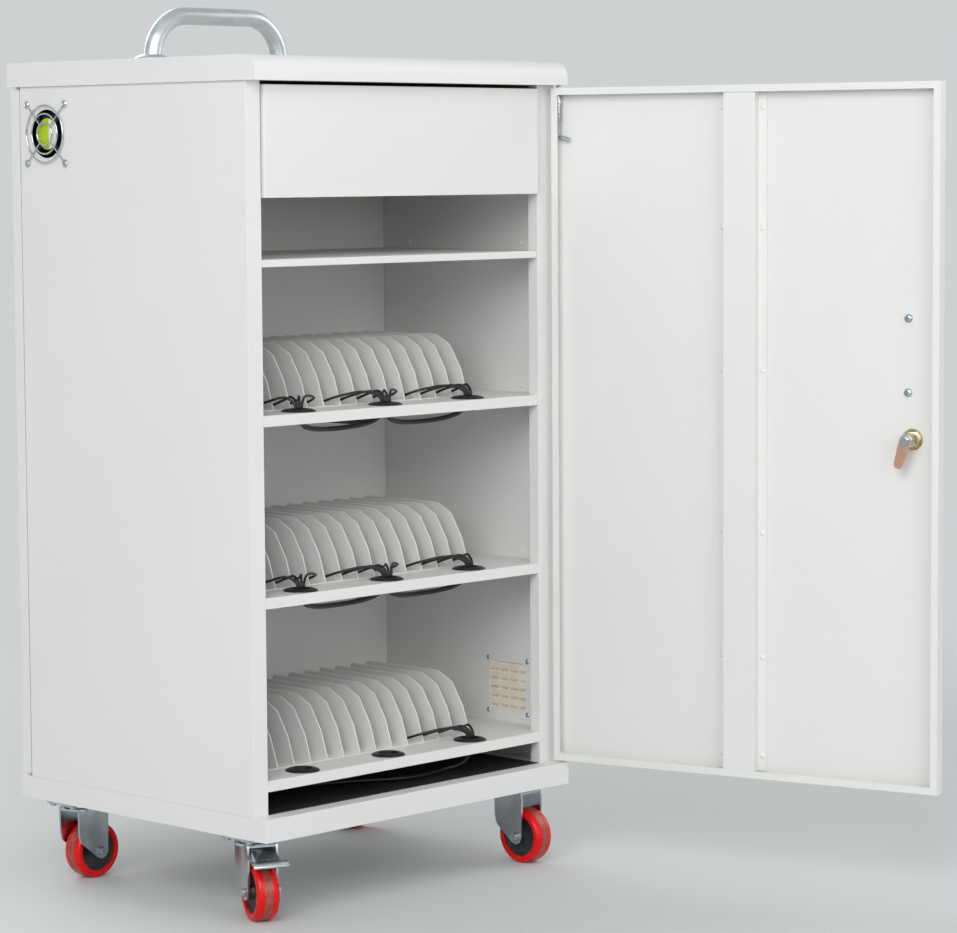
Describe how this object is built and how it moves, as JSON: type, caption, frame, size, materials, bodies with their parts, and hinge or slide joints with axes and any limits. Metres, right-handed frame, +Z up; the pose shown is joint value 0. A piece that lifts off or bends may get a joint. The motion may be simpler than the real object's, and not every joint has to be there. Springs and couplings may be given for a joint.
{
  "type": "laptop charging cart",
  "caption": "Wheeled sheet-steel charging cart with a hinged front door standing open, drawer, slotted device shelves, charging leads, fan and push handle on red swivel casters.",
  "frame": {"origin": "on the floor, under the middle of the whole cart's bounding box with its front door standing open as in the picture", "axes": "+Z up, +X to the right and +Y to the rear as seen from the front"},
  "size_m": [0.7696, 1.0904, 1.2491],
  "materials": {
    "paint": "satin powder coat",
    "zinc": "zinc plated",
    "black_plastic": "moulded",
    "cable": "matt sheath",
    "red_tread": "polyurethane",
    "ivory_plastic": "moulded",
    "brassed_steel": "yellow passivated"
  },
  "bodies": {
    "cabinet": {"left_side_panel": "paint", "right_side_panel": "paint", "top_cap": "paint", "base_tray": "paint", "partition_wall": "paint", "upper_shelf": "paint", "device_shelf_1": "paint", "device_shelf_2": "paint", "device_shelf_3": "paint", "divider_rack_1": "paint", "divider_rack_2": "paint", "divider_rack_3": "paint", "grommet_1_left": "black_plastic", "grommet_1_middle": "black_plastic", "grommet_1_right": "black_plastic", "grommet_2_left": "black_plastic", "grommet_2_middle": "black_plastic", "grommet_2_right": "black_plastic", "grommet_3_left": "black_plastic", "grommet_3_middle": "black_plastic", "grommet_3_right": "black_plastic", "usb_hub_1": "black_plastic", "usb_hub_2": "black_plastic", "usb_hub_3": "black_plastic", "fan_frame": "black_plastic", "power_unit": "black_plastic", "mains_inlet": "black_plastic", "charging_harness_1": "cable", "charging_harness_2": "cable", "charging_harness_3": "cable", "top_handle": "zinc", "fan_guard": "zinc", "vent_cover": "ivory_plastic", "caster_plate_front_left": "zinc", "caster_plate_rear_left": "zinc", "caster_plate_front_right": "zinc", "caster_plate_rear_right": "zinc"},
    "front_door": {"front_door": "paint", "door_stiffener": "paint", "lock_body": "zinc", "door_pull": "zinc"},
    "hinge_bolt": {"hinge_bolt": "zinc"},
    "lock_cam": {"lock_cam": "brassed_steel"},
    "rear_door": {"rear_door": "paint"},
    "drawer": {"drawer": "paint"},
    "fan_rotor": {"fan_rotor": "black_plastic"},
    "fork_front_left": {"caster_fork_front_left": "zinc", "caster_axle_front_left": "zinc"},
    "wheel_front_left": {"caster_wheel_front_left": "red_tread"},
    "pedal_front_left": {"brake_pedal_front_left": "zinc"},
    "fork_rear_left": {"caster_fork_rear_left": "zinc", "caster_axle_rear_left": "zinc"},
    "wheel_rear_left": {"caster_wheel_rear_left": "red_tread"},
    "fork_front_right": {"caster_fork_front_right": "zinc", "caster_axle_front_right": "zinc"},
    "wheel_front_right": {"caster_wheel_front_right": "red_tread"},
    "fork_rear_right": {"caster_fork_rear_right": "zinc", "caster_axle_rear_right": "zinc"},
    "wheel_rear_right": {"caster_wheel_rear_right": "red_tread"},
    "pedal_rear_right": {"brake_pedal_rear_right": "zinc"}
  },
  "joints": [
    {"name": "front_door_hinge", "type": "hinge", "parent": "cabinet", "child": "front_door", "pos_m": [0.21875, 0.03325, 0.152], "axis": [0, 0, 1], "range_deg": [-103.7, 66.3]},
    {"name": "hinge_bolt_slide", "type": "slide", "parent": "front_door", "child": "hinge_bolt", "axis": [0, 0, -1], "range_m": [0, 0.012], "stiffness_N_per_m": 300, "springref_m": -0.01},
    {"name": "lock_cam_turn", "type": "hinge", "parent": "front_door", "child": "lock_cam", "pos_m": [0.34854, -0.49916, 0.64], "axis": [-0.9715, -0.2368, 0], "range_deg": [0, 90]},
    {"name": "rear_door_hinge", "type": "hinge", "parent": "cabinet", "child": "rear_door", "pos_m": [-0.36725, 0.53375, 0.152], "axis": [0, 0, 1], "range_deg": [0, 170]},
    {"name": "drawer_slide", "type": "slide", "parent": "cabinet", "child": "drawer", "axis": [0, -1, 0], "range_m": [0, 0.25]},
    {"name": "fan_spin", "type": "hinge", "parent": "cabinet", "child": "fan_rotor", "pos_m": [-0.36425, 0.46325, 1.066], "axis": [1, 0, 0], "continuous": true},
    {"name": "swivel_front_left", "type": "hinge", "parent": "cabinet", "child": "fork_front_left", "pos_m": [-0.33225, 0.09525, 0.104], "axis": [0, 0, 1], "continuous": true},
    {"name": "roll_front_left", "type": "hinge", "parent": "fork_front_left", "child": "wheel_front_left", "pos_m": [-0.3412, 0.07515, 0.04], "axis": [-0.9135, 0.4067, 0], "continuous": true},
    {"name": "brake_front_left", "type": "hinge", "parent": "fork_front_left", "child": "pedal_front_left", "pos_m": [-0.33998, 0.07789, 0.0975], "axis": [0.9135, -0.4067, 0], "range_deg": [0, 16]},
    {"name": "swivel_rear_left", "type": "hinge", "parent": "cabinet", "child": "fork_rear_left", "pos_m": [-0.33225, 0.46725, 0.104], "axis": [0, 0, 1], "continuous": true},
    {"name": "roll_rear_left", "type": "hinge", "parent": "fork_rear_left", "child": "wheel_rear_left", "pos_m": [-0.31025, 0.46763, 0.04], "axis": [0.0175, -0.9998, 0], "continuous": true},
    {"name": "swivel_front_right", "type": "hinge", "parent": "cabinet", "child": "fork_front_right", "pos_m": [0.18375, 0.09525, 0.104], "axis": [0, 0, 1], "continuous": true},
    {"name": "roll_front_right", "type": "hinge", "parent": "fork_front_right", "child": "wheel_front_right", "pos_m": [0.18375, 0.07325, 0.04], "axis": [-1, 0, 0], "continuous": true},
    {"name": "swivel_rear_right", "type": "hinge", "parent": "cabinet", "child": "fork_rear_right", "pos_m": [0.18375, 0.46725, 0.104], "axis": [0, 0, 1], "continuous": true},
    {"name": "roll_rear_right", "type": "hinge", "parent": "fork_rear_right", "child": "wheel_rear_right", "pos_m": [0.19305, 0.44731, 0.04], "axis": [-0.9063, -0.4226, 0], "continuous": true},
    {"name": "brake_rear_right", "type": "hinge", "parent": "fork_rear_right", "child": "pedal_rear_right", "pos_m": [0.19178, 0.45003, 0.0975], "axis": [0.9063, 0.4226, 0], "range_deg": [0, 16]}
  ]
}
